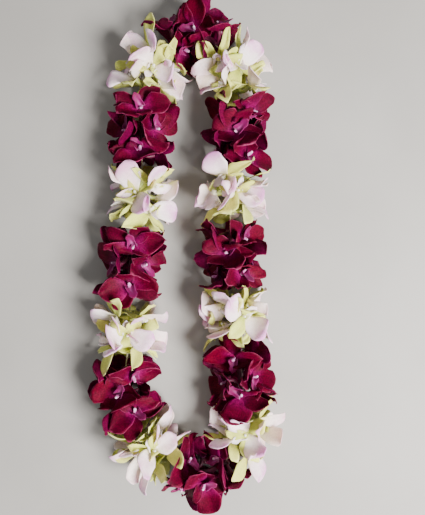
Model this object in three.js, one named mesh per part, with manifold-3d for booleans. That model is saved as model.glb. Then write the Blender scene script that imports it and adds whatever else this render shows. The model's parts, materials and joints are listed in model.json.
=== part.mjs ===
// A fresh orchid lei laid in a long loop: eight bunches of magenta blooms and eight bunches of
// white blooms with yellow-green sepals, strung by turns on one knotted thread.
// Millimetres, +Z up, the lei lies in the XY plane with its length along Y.
import * as THREE from 'three';
import { mergeVertices } from 'three/addons/utils/BufferGeometryUtils.js';
import Module from 'manifold-3d';

const wasm = await Module();
wasm.setup();

// The thread and the strand
const THREAD_HEIGHT = 27;        // middle of the strand above the surface
const THREAD_RADIUS = 0.8;
const KNOT_RADIUS = 1.9;
const STRAND_REACH = 39;         // no petal passes this distance from the thread
const STRAND_SOFT = 33;          // petals start to bend in from this distance
const THREAD_CLEAR = 8;          // and none comes nearer to it than this
const FLOOR_SOFT = 9;            // petals lower than this are pressed flat
const FLOOR_LEVEL = 2.1;         // the pressed petals end in small flat spots at this level

// The core of a bunch: the bases of its ovaries, pushed together along the thread
const CORE_RADIUS = 3.4;
const CORE_BORE = 1.5;
const THREAD_ROOM = 1.4;         // no petal comes nearer to the middle of the thread
const CORE_HALF_LENGTH = { magenta: 26, white: 22 };
const THREAD_SIDES = 4;
const SHARP_TURN = 0.45;         // a bunch that turns more than this has five rings of corners

// A bloom
const RINGS = 3;                 // a bunch is three rings of blooms round the thread
const PER_RING = 3;
const BLOOMS = RINGS * PER_RING;
const RING_STEP = { magenta: 20, white: 14 };  // from ring to ring along the thread
const ROLL = 60;                 // how far a bloom is rolled about its own axis, either way
const BLOOM_TILT = { magenta: 20, white: 44 };  // the outer rings look to the middle by this
const OPENING = {                // added to the rise of the blades, as shares of their length
  magenta: { petal: 0, sepal: 0, lip: 0 },
  white: { petal: 0.3, sepal: -0.35, lip: 0 },
};
const THROAT_RADIUS = 13;        // throat of a bloom from the thread
const THROAT_WIDTH = 3.6;        // the blades of a bloom part at this distance from its middle
const COLUMN_LENGTH = 7;
const OVARY_TOP = 4;             // the ovary starts this far behind the throat
const OVARY_RADIUS = 1.6;
const FOOT_RADIUS = 1.9;         // and ends this far from the thread, inside the core
const BLADE = 1.4;               // thickness of petals and sepals at their middle
const SMALLEST_EDGE = 0.02;      // shorter edges left by the joins are closed up
const DRAW_STRIDE = BLOOMS + 1;  // from one bunch to the next in the draws

// How much the blooms and their blades differ, either way: millimetres, degrees or shares
const BLOOM_WANDER = { along: 3, round: 11, throat: 0.08, tilt: 14, size: 0.05 };
const BLADE_WANDER = { angle: 6, twist: 15, bow: 0.12, length: 0.05 };
const LIP_WANDER = 0.3;          // a lip differs by this share of that

// The seam between two bunches
const SEAM_GAP = 0.25;           // each side of the seam
const SEAM_MARGIN = { magenta: 1.8, white: 1.6 };  // petals bend up before they come this near
const SEAM_SOFT = 3;             // length over which they bend
const SEAM_LIFT = 0.5;           // how far a held-back petal is pushed outward
const SEAM_FLARE = 0.65;         // the white bunches open over their neighbours
const SEAM_WAVES = [5.5, 4];     // two and three waves round the seam, of this height
const WAVE_RADIUS = 30;          // the waves have their full height from this radius
const FLARE_START = 12;          // the flare starts at this radius
const FLARE_MIDDLE = 26;         // and the rooms meet halfway at this one

// Room between the blooms of one bunch
const BLOOM_ROOM = 40;           // blooms nearer than this share their room
const BLOOM_MARGIN = 1.8;        // its petals bend before they come this near to the next room
const BLOOM_SOFT = 3;
const BLOOM_FLARE = 0.5;         // of two blooms one opens over the other

const MAGENTA = 'magenta';
const WHITE = 'white';

// Each bunch: colour, middle x and y, the ring with the bloom that faces up, and how far that
// bloom swings from straight up, in degrees
const BUNCHES = [
  [MAGENTA, 8, 225, 1, 14],
  [WHITE, 47, 185, 1, -12],
  [MAGENTA, 51, 123, 1, 16],
  [WHITE, 44, 64, 1, -18],
  [MAGENTA, 44, 2, 1, 14],
  [WHITE, 48, -58, 1, -20],
  [MAGENTA, 53, -118, 0, 10],
  [WHITE, 59, -175, 1, 2],
  [MAGENTA, 18, -216, 1, -10],
  [WHITE, -36, -190, 1, 15],
  [MAGENTA, -61, -136, 1, -22],
  [WHITE, -58, -75, 1, 8],
  [MAGENTA, -56, -8, 0, 4],
  [WHITE, -46, 62, 1, -8],
  [MAGENTA, -45, 126, 0, 6],
  [WHITE, -36, 187, 1, 18],
];

// The blades of a bloom in the order round its face: angle, length, width, rise at the root
// and bend back towards the tip (both as shares of the length), lift out of the face
const BLADES = [
  { kind: 'petal', angle: 12, length: 31, width: 24, rise: 0.4, back: 0.28, lift: 0 },
  { kind: 'sepal', angle: 90, length: 29, width: 15, rise: 0.2, back: 0.3, lift: 0 },
  { kind: 'petal', angle: 168, length: 31, width: 24, rise: 0.4, back: 0.28, lift: 0 },
  { kind: 'sepal', angle: 222, length: 28, width: 15, rise: 0.1, back: 0.25, lift: 0 },
  { kind: 'lip', angle: 270, length: 15, width: 10, rise: 0.1, back: 0.35, lift: 48 },
  { kind: 'sepal', angle: 318, length: 28, width: 15, rise: 0.1, back: 0.25, lift: 0 },
];

// Outlines of one side as [share of the length, share of the half width], from the root to the
// tip, and the place of the thickest point along the length. A lip is a plain spur.
const OUTLINES = {
  petal: { half: [[0.8, 0.84]], middle: 0.52 },
  sepal: { half: [[0.5, 1], [1, 0]], middle: 0.45 },
  lip: { half: [[1, 0]] },
};

const LOOKS = {
  [MAGENTA]: { color: 0x8e0f4e, roughness: 0.6, metalness: 0 },
  [WHITE]: { color: 0xe2dfc4, roughness: 0.6, metalness: 0 },
  thread: { color: 0xe9e6da, roughness: 0.8, metalness: 0 },
};

const radians = THREE.MathUtils.degToRad;

// A repeatable draw between -1 and 1 for bunch k, bloom i and property n
function draw(k, i, n) {
  const v = Math.sin((k * DRAW_STRIDE + i) * 12.9898 + n * 78.233) * 43758.5453;
  return 2 * (v - Math.floor(v)) - 1;
}

const route = new THREE.CatmullRomCurve3(
  BUNCHES.map(([, x, y]) => new THREE.Vector3(x, y, THREAD_HEIGHT)), true, 'catmullrom', 0.5);
route.arcLengthDivisions = 1024;
const lengths = route.getLengths();
const total = lengths[1024];

// Place on the thread, s millimetres past the middle of bunch k
function along(k, s) {
  const u = (lengths[(k * 1024) / BUNCHES.length] + s) / total;
  return THREE.MathUtils.euclideanModulo(u, 1);
}

const seams = BUNCHES.map((bunch, k) => {
  const t = (k + 0.5) / BUNCHES.length;
  const next = BUNCHES[(k + 1) % BUNCHES.length];
  const tangent = route.getTangent(t);
  return {
    middle: route.getPoint(t),
    tangent,
    side: new THREE.Vector3(-tangent.y, tangent.x, 0),
    flare: next[0] === WHITE ? -SEAM_FLARE : SEAM_FLARE,
    phase: 180 * draw(k, 0, 40),
    phase2: 180 * draw(k, 0, 41),
  };
});

// How far seam j lies past its plane, at a radius and an angle round the thread
function seamOffset(seam, radius, angle) {
  const wave = SEAM_WAVES[0] * Math.sin(2 * angle + radians(seam.phase))
    + SEAM_WAVES[1] * Math.sin(3 * angle + radians(seam.phase2));
  return wave * Math.min(radius / WAVE_RADIUS, 1)
    + seam.flare * (Math.max(radius, FLARE_START) - FLARE_MIDDLE);
}

const threadSamples = BUNCHES.map((bunch, k) => {
  const points = [];
  for (let i = -12; i <= 12; i += 1) {
    points.push(route.getPoint(THREE.MathUtils.euclideanModulo((k + i / 16) / BUNCHES.length, 1)));
  }
  return points;
});

// The nearest place on the thread to a point of bunch k
function nearestOnThread(point, k) {
  let nearest = threadSamples[k][0];
  for (const p of threadSamples[k]) {
    if (p.distanceToSquared(point) < nearest.distanceToSquared(point)) nearest = p;
  }
  return nearest;
}

// A point that comes near a limit is held short of it, and pushed outward instead
function holdBack(q, over, limitNormal, soft, lift, outward) {
  if (over <= -soft) return;
  const held = -soft * Math.exp(-(over + soft) / soft);
  q.addScaledVector(limitNormal, held - over).addScaledVector(outward, lift * (over - held));
}

// Bends a point of bloom i of bunch k clear of the other blooms, of the seams to the next
// bunches, of the reach of the strand and of the surface
function bend(point, k, i) {
  const q = point.clone();
  const near = nearestOnThread(q, k);
  const outward = q.clone().sub(near);
  const reach = outward.length();
  outward.normalize();
  const own = centres[k][i];
  centres[k].forEach((other, j) => {
    if (j === i || own.distanceTo(other) > BLOOM_ROOM) return;
    const normal = other.clone().sub(own).normalize();
    const middle = own.clone().add(other).multiplyScalar(0.5);
    const pair = Math.min(i, j) * BLOOMS + Math.max(i, j);
    const flare = (i < j ? 1 : -1) * (draw(k, 0, 50 + pair) > 0 ? BLOOM_FLARE : -BLOOM_FLARE);
    const over = q.clone().sub(middle).dot(normal) - flare * (reach - FLARE_MIDDLE) + BLOOM_MARGIN;
    holdBack(q, over, normal, BLOOM_SOFT, SEAM_LIFT, outward);
  });
  for (const way of [1, -1]) {
    const seam = seams[(k + (way > 0 ? 0 : -1) + BUNCHES.length) % BUNCHES.length];
    const from = q.clone().sub(seam.middle);
    const d = from.dot(seam.tangent);
    const across = from.addScaledVector(seam.tangent, -d);
    const radius = across.length();
    const angle = Math.atan2(across.z, across.dot(seam.side));
    const over = way * (d - seamOffset(seam, radius, angle)) + SEAM_MARGIN[BUNCHES[k][0]];
    holdBack(q, over, seam.tangent.clone().multiplyScalar(way), SEAM_SOFT, SEAM_LIFT,
      across.normalize());
  }
  const base = nearestOnThread(q, k);
  const out = q.clone().sub(base);
  const radius = out.length();
  const span = STRAND_REACH - STRAND_SOFT;
  let held = Math.max(radius, THREAD_CLEAR);
  if (radius > STRAND_SOFT) held = STRAND_REACH - span * Math.exp(-(radius - STRAND_SOFT) / span);
  q.copy(base).addScaledVector(out.normalize(), held);
  if (q.z < FLOOR_SOFT) q.z = FLOOR_SOFT * Math.exp((q.z - FLOOR_SOFT) / FLOOR_SOFT);
  return q;
}

function bodyOf(geometry) {
  geometry.deleteAttribute('normal');
  geometry.deleteAttribute('uv');
  const merged = mergeVertices(geometry, 1e-4);
  return new wasm.Manifold(new wasm.Mesh({
    numProp: 3,
    vertProperties: new Float32Array(merged.attributes.position.array),
    triVerts: new Uint32Array(merged.index.array),
  }));
}

// Distances along the thread of the rings of corners of bunch k, more of them in a bend
function stations(k) {
  const half = CORE_HALF_LENGTH[BUNCHES[k][0]];
  const turn = route.getTangentAt(along(k, -half)).angleTo(route.getTangentAt(along(k, half)));
  return (turn > SHARP_TURN ? [-1, -0.5, 0, 0.5, 1] : [-1, 0, 1]).map((share) => share * half);
}

// The middle of the core of bunch k at distance s: it is straight between the stations
function coreMiddle(k, s) {
  const places = stations(k);
  const next = Math.max(1, places.findIndex((place) => place >= s));
  const [start, end] = [places[next - 1], places[next]];
  return route.getPointAt(along(k, start))
    .lerp(route.getPointAt(along(k, end)), (s - start) / (end - start));
}

// The place and the three directions of bloom i of bunch k
function bloomFrame(k, i) {
  const [colour, , , upRing, swing] = BUNCHES[k];
  const ring = Math.floor(i / PER_RING);
  const way = ring - 1;
  const s = way * RING_STEP[colour] + BLOOM_WANDER.along * draw(k, i, 1);
  const u = along(k, s);
  const onThread = route.getPointAt(u);
  const tangent = route.getTangentAt(u);
  const side = new THREE.Vector3(-tangent.y, tangent.x, 0);
  const step = 360 / PER_RING;
  const turn = (ring - upRing) % 2 ? step / 2 : 0;
  const angle = radians(90 + swing + step * (i % PER_RING) + turn
    + BLOOM_WANDER.round * draw(k, i, 2));
  const outward = side.clone().multiplyScalar(Math.cos(angle));
  outward.z = Math.sin(angle);
  const throatRadius = THROAT_RADIUS * (1 + BLOOM_WANDER.throat * draw(k, i, 3));
  const throat = onThread.clone().addScaledVector(outward, throatRadius);
  const tilt = radians(-way * BLOOM_TILT[colour] + BLOOM_WANDER.tilt * draw(k, i, 4));
  const face = outward.clone().multiplyScalar(Math.cos(tilt)).addScaledVector(tangent, Math.sin(tilt));
  // The dorsal sepal mostly points out of the bunch
  const top = tangent.clone().multiplyScalar((draw(k, i, 6) > 0.3 ? -1 : 1) * (way || 1));
  top.addScaledVector(face, -top.dot(face)).normalize();
  top.applyAxisAngle(face, radians(ROLL * draw(k, i, 7)));
  const right = top.clone().cross(face);
  const foot = coreMiddle(k, s).addScaledVector(outward, FOOT_RADIUS);
  return { throat, foot, face, top, right, size: 1 + BLOOM_WANDER.size * draw(k, i, 8) };
}

// The middle of the room of each bloom
const centres = BUNCHES.map((bunch, k) => Array.from({ length: BLOOMS }, (unused, i) => {
  const frame = bloomFrame(k, i);
  return frame.throat.addScaledVector(frame.face, 6);
}));

// The middle surface of blade n: t runs from the root to the tip, a across from -1 to 1
function bladeSurface(frame, k, i, n) {
  const part = BLADES[n];
  const seed = 10 + n * 5;
  const wander = part.kind === 'lip' ? LIP_WANDER : 1;
  const angle = radians(part.angle + BLADE_WANDER.angle * wander * draw(k, i, seed));
  const twist = radians(BLADE_WANDER.twist * wander * draw(k, i, seed + 1));
  const opening = OPENING[BUNCHES[k][0]][part.kind];
  const bow = BLADE_WANDER.bow * wander;
  const rise = part.rise + opening + bow * draw(k, i, seed + 2);
  const back = part.back + bow * draw(k, i, seed + 3);
  const stretch = 1 + BLADE_WANDER.length * draw(k, i, seed + 4);
  const length = frame.size * part.length * stretch;
  const half = (frame.size * part.width) / 2;
  const flat = frame.right.clone().multiplyScalar(Math.cos(angle))
    .addScaledVector(frame.top, Math.sin(angle));
  const flatSide = frame.face.clone().cross(flat);
  const outward = flat.clone().multiplyScalar(Math.cos(radians(part.lift)))
    .addScaledVector(frame.face, Math.sin(radians(part.lift)));
  const level = outward.clone().cross(flatSide);
  const side = flatSide.clone().multiplyScalar(Math.cos(twist)).addScaledVector(level, Math.sin(twist));
  const front = outward.clone().cross(side);
  return (t, a) => frame.throat.clone()
    .addScaledVector(outward, length * t)
    .addScaledVector(side, a * half)
    .addScaledVector(front, length * (rise * t - back * t * t));
}

// A bloom is one star of six blades, closed in front by the column and behind by the ovary.
// A petal or sepal is a lens: fans round its middle, in front and behind, meet at its rim.
function bloom(k, i) {
  const frame = bloomFrame(k, i);
  const count = BLADES.length;
  const points = [];
  const index = [];
  const add = (point) => points.push(point) - 1;
  const notches = BLADES.map((part, n) => {
    const next = BLADES[(n + 1) % count].angle + (n + 1 === count ? 360 : 0);
    const angle = radians((part.angle + next) / 2);
    return add(frame.throat.clone()
      .addScaledVector(frame.right, THROAT_WIDTH * Math.cos(angle))
      .addScaledVector(frame.top, THROAT_WIDTH * Math.sin(angle)));
  });
  const column = add(frame.throat.clone()
    .addScaledVector(frame.face, COLUMN_LENGTH).addScaledVector(frame.top, 1));
  const foot = add(frame.foot);
  // Three corners of the ovary, each behind two of the blades
  const ovary = [0, 2, 4].map((n) => {
    const angle = radians((BLADES[n].angle + BLADES[n + 1].angle) / 2);
    return add(frame.throat.clone().addScaledVector(frame.face, -OVARY_TOP)
      .addScaledVector(frame.right, OVARY_RADIUS * Math.cos(angle))
      .addScaledVector(frame.top, OVARY_RADIUS * Math.sin(angle)));
  });
  BLADES.forEach((part, n) => {
    const before = notches[(n + count - 1) % count];
    const after = notches[n];
    const surface = bladeSurface(frame, k, i, n);
    const { half, middle } = OUTLINES[part.kind];
    const outline = half.map(([t, a]) => [t, -a])
      .concat(half.filter(([, a]) => a > 0).reverse());
    const rim = [before, ...outline.map(([t, a]) => add(bend(surface(t, a), k, i))), after];
    const corner = ovary[(n - (n % 2)) / 2];
    if (n % 2) {
      const next = ovary[((n + 1) / 2) % 3];
      index.push(after, corner, next, corner, foot, next);
    }
    index.push(before, after, column);
    if (!middle) {
      index.push(before, rim[1], after, rim[1], before, corner, after, rim[1], corner);
      return;
    }
    const place = (t, a) => bend(surface(t, a), k, i);
    const across = place(middle, 0.3).sub(place(middle, -0.3));
    const lengthwise = place(middle + 0.1, 0).sub(place(middle - 0.1, 0));
    const normal = lengthwise.cross(across).setLength(BLADE / 2);
    const front = add(place(middle, 0).add(normal));
    const back = add(place(middle, 0).sub(normal));
    for (let v = 1; v < rim.length; v += 1) {
      index.push(rim[v - 1], rim[v], front, rim[v], rim[v - 1], back);
    }
    index.push(after, before, front, back, before, corner, after, back, corner);
  });
  const geometry = new THREE.BufferGeometry();
  geometry.setAttribute('position', new THREE.BufferAttribute(
    new Float32Array(points.flatMap((p) => p.toArray())), 3));
  geometry.setIndex(index);
  return bodyOf(geometry);
}

// Rings of corners round the thread at its bends in bunch k: the core and the thread share them
function ringsOf(k, radius) {
  return stations(k).map((s) => {
    const u = along(k, s);
    const middle = route.getPointAt(u);
    const tangent = route.getTangentAt(u);
    const side = new THREE.Vector3(-tangent.y, tangent.x, 0);
    return Array.from({ length: THREAD_SIDES }, (unused, i) => {
      const angle = (2 * Math.PI * i) / THREAD_SIDES;
      const corner = middle.clone().addScaledVector(side, radius * Math.cos(angle));
      corner.z += radius * Math.sin(angle);
      return corner;
    });
  });
}

// A tube through a closed chain of rings
function ringBody(rings) {
  const index = [];
  const count = rings[0].length;
  rings.forEach((ring, r) => {
    const next = ((r + 1) % rings.length) * count;
    for (let i = 0; i < count; i += 1) {
      const [p, q] = [r * count + i, r * count + ((i + 1) % count)];
      const [m, n] = [next + i, next + ((i + 1) % count)];
      index.push(p, n, m, p, q, n);
    }
  });
  const geometry = new THREE.BufferGeometry();
  geometry.setAttribute('position', new THREE.BufferAttribute(
    new Float32Array(rings.flat().flatMap((p) => p.toArray())), 3));
  geometry.setIndex(index);
  return bodyOf(geometry);
}

// The core of bunch k, a bored bar along the thread
function core(k) {
  return ringBody([...ringsOf(k, CORE_BORE).reverse(), ...ringsOf(k, CORE_RADIUS)]);
}

// All that lies beyond seam j, on the far side of a bunch
function beyond(seam, way) {
  const profile = [[0, 0], [12, 0], [20, 0], [30, 0], [46, 0], [46, 70 * way], [0, 70 * way]];
  const geometry = new THREE.LatheGeometry(profile.map(([r, y]) => new THREE.Vector2(r, y)), 20);
  const { position } = geometry.attributes;
  for (let i = 0; i < position.count; i += 1) {
    const [x, y, z] = [position.getX(i), position.getY(i), position.getZ(i)];
    const radius = Math.hypot(x, z);
    const angle = radius > 1e-6 ? Math.atan2(z, x) : 0;
    const depth = Math.abs(y) < 1 ? seamOffset(seam, radius, angle) - way * SEAM_GAP : y;
    const v = seam.middle.clone()
      .addScaledVector(seam.tangent, depth)
      .addScaledVector(seam.side, radius * Math.cos(angle));
    position.setXYZ(i, v.x, v.y, v.z + radius * Math.sin(angle));
  }
  if (way > 0) geometry.setIndex(Array.from(geometry.index.array).reverse());
  return bodyOf(geometry);
}

function largest(body) {
  return body.decompose().sort((a, b) => b.volume() - a.volume())[0];
}

// A tube round the whole thread
function tubeOf(radius) {
  return ringBody(BUNCHES.flatMap((bunch, k) => ringsOf(k, radius)));
}

const threadRoom = tubeOf(THREAD_ROOM);

function bunch(k) {
  let body = core(k);
  for (let i = 0; i < BLOOMS; i += 1) body = body.add(bloom(k, i));
  body = body.subtract(threadRoom);
  body = body.subtract(beyond(seams[k], 1));
  body = body.subtract(beyond(seams[(k + BUNCHES.length - 1) % BUNCHES.length], -1));
  const ground = new THREE.BoxGeometry(140, 140, 20);
  const [, x, y] = BUNCHES[k];
  ground.translate(x, y, FLOOR_LEVEL - 10);
  return largest(body.subtract(bodyOf(ground)).simplify(SMALLEST_EDGE));
}

// The thread, tied between the first and the last bunch
function thread() {
  const loop = tubeOf(THREAD_RADIUS);
  const knot = new THREE.IcosahedronGeometry(KNOT_RADIUS, 0);
  const { middle } = seams[BUNCHES.length - 1];
  knot.translate(middle.x, middle.y, middle.z);
  return loop.add(bodyOf(knot));
}

const lei = new THREE.Group();

function put(name, body, look) {
  const { vertProperties, triVerts } = body.getMesh();
  const geometry = new THREE.BufferGeometry();
  geometry.setAttribute('position', new THREE.BufferAttribute(new Float32Array(vertProperties), 3));
  geometry.setIndex(new THREE.BufferAttribute(new Uint32Array(triVerts), 1));
  geometry.computeVertexNormals();
  const mesh = new THREE.Mesh(geometry, new THREE.MeshStandardMaterial(LOOKS[look]));
  mesh.name = name;
  lei.add(mesh);
}

const counts = { [MAGENTA]: 0, [WHITE]: 0 };
BUNCHES.forEach(([colour], k) => {
  counts[colour] += 1;
  put(`${colour}_bunch_${counts[colour]}`, bunch(k), colour);
});
put('thread', thread(), 'thread');

// The middle of the footprint goes to the origin and the flat spots to the height zero
const box = new THREE.Box3().setFromObject(lei);
lei.position.set(-(box.min.x + box.max.x) / 2, -(box.min.y + box.max.y) / 2, -box.min.z);
lei.updateMatrixWorld(true);

export default lei;
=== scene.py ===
# %% [markdown]
# A fresh orchid lei
#
# The lei lies in a long loop on a table. Bunches of magenta dendrobium orchids and bunches of
# white ones with yellow-green sepals are strung by turns on one knotted thread.
#
# The construction is fixed: the thread's route, the bunches and the room of every bloom come
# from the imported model, and each piece made here takes the place of one of its nodes. What is
# made here is what gives the lei its look: thin petals with veins and pale edges, folded lips,
# columns and ovaries.

# %% Load the frame
import json
import math

import bmesh
import bpy
import numpy as np
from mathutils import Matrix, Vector

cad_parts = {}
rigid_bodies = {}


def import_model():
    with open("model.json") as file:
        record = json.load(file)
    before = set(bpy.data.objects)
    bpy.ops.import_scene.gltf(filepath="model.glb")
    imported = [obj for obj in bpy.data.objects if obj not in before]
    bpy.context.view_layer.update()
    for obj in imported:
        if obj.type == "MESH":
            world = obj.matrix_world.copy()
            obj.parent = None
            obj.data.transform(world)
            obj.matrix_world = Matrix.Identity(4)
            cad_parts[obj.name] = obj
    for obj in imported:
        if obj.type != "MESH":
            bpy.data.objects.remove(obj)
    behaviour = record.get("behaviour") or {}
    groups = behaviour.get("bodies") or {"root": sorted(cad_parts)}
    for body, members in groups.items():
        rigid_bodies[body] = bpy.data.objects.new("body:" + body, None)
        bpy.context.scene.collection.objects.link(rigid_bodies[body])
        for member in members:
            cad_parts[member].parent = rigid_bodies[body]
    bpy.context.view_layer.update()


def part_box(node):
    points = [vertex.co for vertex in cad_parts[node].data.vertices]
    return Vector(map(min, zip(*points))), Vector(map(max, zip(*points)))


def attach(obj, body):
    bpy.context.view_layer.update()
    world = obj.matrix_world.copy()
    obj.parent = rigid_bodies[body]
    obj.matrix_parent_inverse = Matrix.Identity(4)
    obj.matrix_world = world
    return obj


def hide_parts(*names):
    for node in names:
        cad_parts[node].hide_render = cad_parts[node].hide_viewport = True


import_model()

MM = 0.001

# %% [markdown]
# The thread's route
#
# The middle of each bunch is a point of one closed smooth curve, the thread. The points are
# given in millimetres, and the model was made on the same ones. The blooms have to ask for a
# place and a direction at any length along the curve, so it is no curve object but a formula:
# a Catmull-Rom curve, whose direction at each point is that from the point before to the
# point after.

# %% The middle of each bunch and the curve through them
MAGENTA, WHITE = "magenta", "white"
THREAD_HEIGHT = 27.0
BUNCHES = (          # colour, x, y, ring with the bloom that faces up, its swing in degrees
    (MAGENTA, 8, 225, 1, 14),
    (WHITE, 47, 185, 1, -12),
    (MAGENTA, 51, 123, 1, 16),
    (WHITE, 44, 64, 1, -18),
    (MAGENTA, 44, 2, 1, 14),
    (WHITE, 48, -58, 1, -20),
    (MAGENTA, 53, -118, 0, 10),
    (WHITE, 59, -175, 1, 2),
    (MAGENTA, 18, -216, 1, -10),
    (WHITE, -36, -190, 1, 15),
    (MAGENTA, -61, -136, 1, -22),
    (WHITE, -58, -75, 1, 8),
    (MAGENTA, -56, -8, 0, 4),
    (WHITE, -46, 62, 1, -8),
    (MAGENTA, -45, 126, 0, 6),
    (WHITE, -36, 187, 1, 18),
)
COUNT = len(BUNCHES)
KNOTS = np.array([[x, y, THREAD_HEIGHT] for colour, x, y, ring, swing in BUNCHES], float)
LENGTH_STEPS = 1024


def route(t):
    """Points of the thread. From 0 to 1, t runs round it, evenly from bunch to bunch."""
    place = np.mod(np.atleast_1d(t), 1.0) * COUNT
    first = np.floor(place).astype(int)
    w = (place - first)[:, None]
    p0, p1, p2, p3 = (KNOTS[(first + step) % COUNT] for step in (-1, 0, 1, 2))
    start, end = (p2 - p0) / 2, (p3 - p1) / 2
    return (p1 + start * w + (3 * (p2 - p1) - 2 * start - end) * w ** 2
            + (2 * (p1 - p2) + start + end) * w ** 3)


def unit(v):
    return v / np.linalg.norm(v, axis=-1, keepdims=True)


def direction(t, step=1e-4):
    return unit(route(np.asarray(t) + step) - route(np.asarray(t) - step))


def sideways(tangent):
    """The level direction at a right angle to a tangent, or to each of several."""
    return np.stack([-tangent[..., 1], tangent[..., 0], np.zeros(tangent.shape[:-1])], axis=-1)


TABLE_T = np.linspace(0, 1, LENGTH_STEPS + 1)
TABLE_LENGTH = np.concatenate(
    [[0], np.cumsum(np.linalg.norm(np.diff(route(TABLE_T), axis=0), axis=1))])
THREAD_LENGTH = TABLE_LENGTH[-1]


def along(k, s):
    """The share t of the place s millimetres past the middle of bunch k."""
    start = TABLE_LENGTH[k * LENGTH_STEPS // COUNT]
    return np.interp(np.mod(start + s, THREAD_LENGTH), TABLE_LENGTH, TABLE_T)


print("thread:", round(THREAD_LENGTH, 1), "mm round")

# %% [markdown]
# The model stands the lei on height zero with its footprint centred on the origin. The thread
# of the model is a tube with a few sides, so its corners are worked out once more, and the
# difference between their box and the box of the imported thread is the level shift. The height
# shifts by the floor level.

# %% From the route to the frame
THREAD_RADIUS = 0.8
THREAD_SIDES = 4
CORE_HALF_LENGTH = {MAGENTA: 26.0, WHITE: 22.0}
SHARP_TURN = 0.45
FLOOR_LEVEL = 2.1


def thread_corners():
    corners = []
    for k, (colour, *_) in enumerate(BUNCHES):
        half = CORE_HALF_LENGTH[colour]
        ends = direction([along(k, -half), along(k, half)])
        turn = math.acos(float(np.clip(ends[0] @ ends[1], -1, 1)))
        for share in ([-1, -0.5, 0, 0.5, 1] if turn > SHARP_TURN else [-1, 0, 1]):
            t = along(k, share * half)
            tangent = direction(t)[0]
            for i in range(THREAD_SIDES):
                angle = 2 * math.pi * i / THREAD_SIDES
                corners.append(route(t)[0] + THREAD_RADIUS * math.cos(angle) * sideways(tangent))
    return np.array(corners)


low, high = (np.array(corner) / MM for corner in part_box("thread"))
corners = thread_corners()
SHIFT = (low + high) / 2 - (corners.min(0) + corners.max(0)) / 2
SHIFT[2] = -FLOOR_LEVEL
size_difference = (high - low) - (corners.max(0) - corners.min(0))
print("shift in mm:", SHIFT.round(3), "size differs by", size_difference[:2].round(3))

# %% [markdown]
# Each bunch holds nine blooms in three rings round the thread. Their places vary a little, and
# the variation has to be the model's own, so both use one formula for a repeatable draw
# instead of a random generator. The values that end in DRAW say how far a bloom's place along
# and round the thread, its distance, tilt, roll and size go either way.

# %% The place and the directions of each bloom
RINGS = 3
PER_RING = 3
BLOOMS = RINGS * PER_RING
RING_STEP = {MAGENTA: 20.0, WHITE: 14.0}
BLOOM_TILT = {MAGENTA: 20, WHITE: 44}
OPENING = {MAGENTA: {"petal": 0.0, "sepal": 0.0, "lip": 0.0},
           WHITE: {"petal": 0.3, "sepal": -0.35, "lip": 0.0}}
THROAT_RADIUS = 13.0
STEP = 360 / PER_RING
ALONG_DRAW, ROUND_DRAW, RADIUS_DRAW = 3, 11, 0.08
TILT_DRAW, ROLL_DRAW, SIZE_DRAW = 14, 60, 0.05
REVERSED_OVER = 0.3
CENTRE_AHEAD = 6


def draw(k, i, n):
    """A repeatable number between -1 and 1 for bunch k, bloom i and property n."""
    v = math.sin((k * 10 + i) * 12.9898 + n * 78.233) * 43758.5453
    return 2 * (v - math.floor(v)) - 1


def turned(v, axis, angle):
    """Vector v, at a right angle to axis, turned about it."""
    return v * math.cos(angle) + np.cross(axis, v) * math.sin(angle)


def bloom_frame(k, i):
    colour, x, y, up_ring, swing = BUNCHES[k]
    ring = i // PER_RING
    way = ring - 1
    s = way * RING_STEP[colour] + ALONG_DRAW * draw(k, i, 1)
    t = along(k, s)
    tangent = direction(t)[0]
    half_step = 0 if (ring - up_ring) % 2 == 0 else STEP / 2
    angle = math.radians(90 + swing + STEP * (i % PER_RING) + half_step
                         + ROUND_DRAW * draw(k, i, 2))
    outward = sideways(tangent) * math.cos(angle) + np.array([0, 0, math.sin(angle)])
    throat = route(t)[0] + outward * THROAT_RADIUS * (1 + RADIUS_DRAW * draw(k, i, 3))
    tilt = math.radians(-way * BLOOM_TILT[colour] + TILT_DRAW * draw(k, i, 4))
    face = outward * math.cos(tilt) + tangent * math.sin(tilt)
    top = tangent * ((-1 if draw(k, i, 6) > REVERSED_OVER else 1) * (way or 1))
    roll = math.radians(ROLL_DRAW * draw(k, i, 7))
    top = turned(unit(top - face * (top @ face)), face, roll)
    return {"throat": throat, "face": face, "top": top, "right": np.cross(top, face),
            "tangent": tangent, "outward": outward, "way": way, "s": s,
            "size": 1 + SIZE_DRAW * draw(k, i, 8)}


FRAMES = [[bloom_frame(k, i) for i in range(BLOOMS)] for k in range(COUNT)]
CENTRES = [[f["throat"] + CENTRE_AHEAD * f["face"] for f in row] for row in FRAMES]
print("blooms:", sum(len(row) for row in FRAMES))

# %% [markdown]
# Petals in a lei are pressed together. A point of a petal that comes near the next bunch or the
# next bloom is held back there and pushed outward instead, and it keeps clear of the thread.
# These moves are evened out over the whole petal, so it bends and doesn't crease. Then the
# reach of the strand and the table hold it too. The formulas are the model's, so the finer
# petals keep the room of the plain ones. A cloth simulation of hundreds of petals would take
# far too long.

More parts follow.
